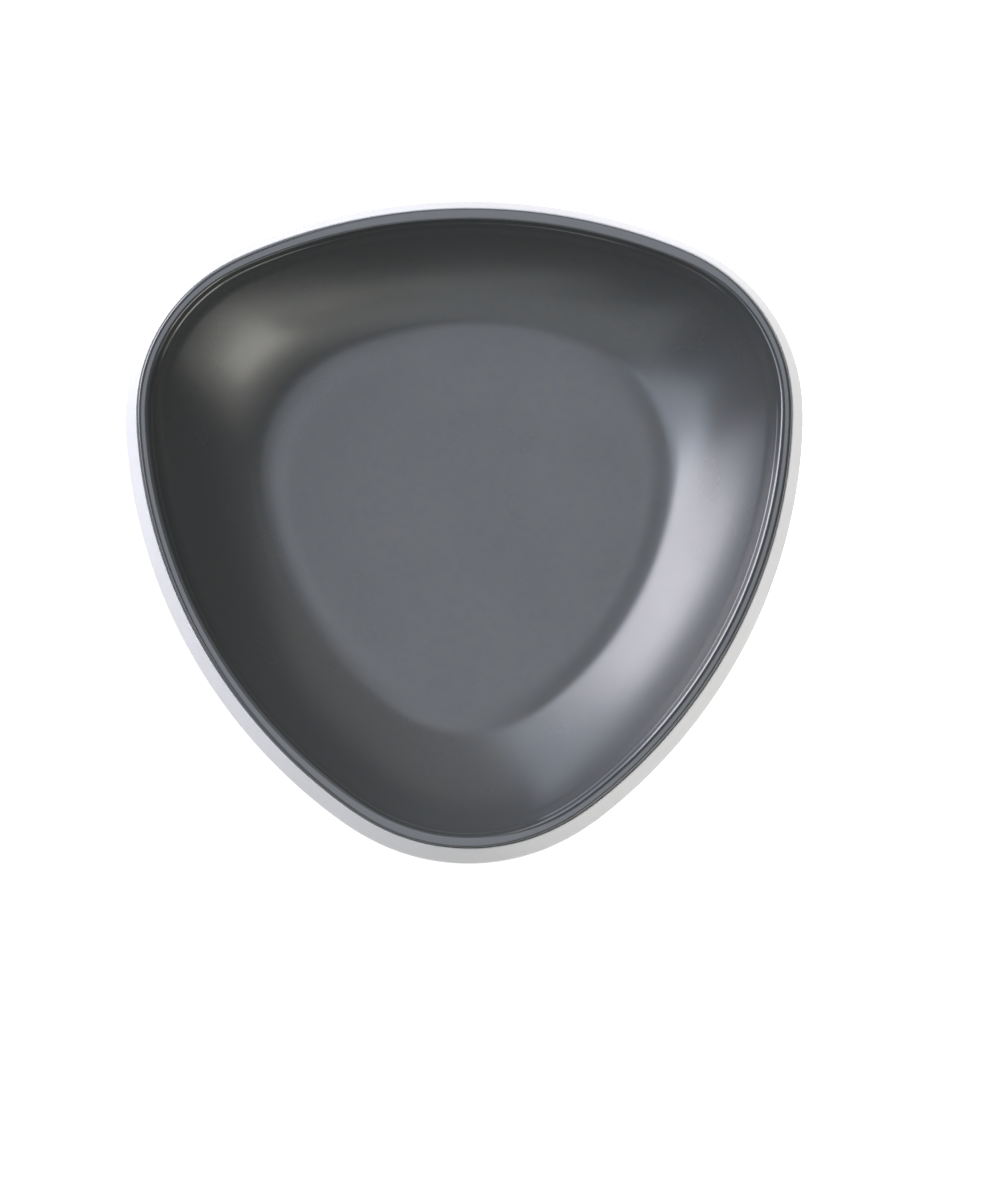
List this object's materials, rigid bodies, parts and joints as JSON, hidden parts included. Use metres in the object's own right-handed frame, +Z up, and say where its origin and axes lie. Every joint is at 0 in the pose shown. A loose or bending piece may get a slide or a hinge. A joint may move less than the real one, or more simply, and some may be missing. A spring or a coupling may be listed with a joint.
{
  "type": "rounded triangle serving dish",
  "caption": "Shallow rounded-triangle serving dish in two-tone melamine: a dark grey food side with a rolled lip, bonded into a thick white shell on a low foot ring.",
  "frame": {"origin": "middle of the dish's plan box on the resting plane, with the front corner towards -Y and the dish symmetric about X = 0", "axes": "+Z up, out of the dish's mouth; -Y towards one of the three corners; +X to the right seen from the front corner"},
  "size_m": [0.2045, 0.2025, 0.032],
  "materials": {
    "white_melamine": "gloss warm-white moulded melamine, lightly polished",
    "grey_melamine": "satin dark slate-grey moulded melamine with a soft sheen, glossier on the lip"
  },
  "bodies": {
    "root": {"outer_shell": "white_melamine", "inner_liner": "grey_melamine"}
  },
  "joints": []
}
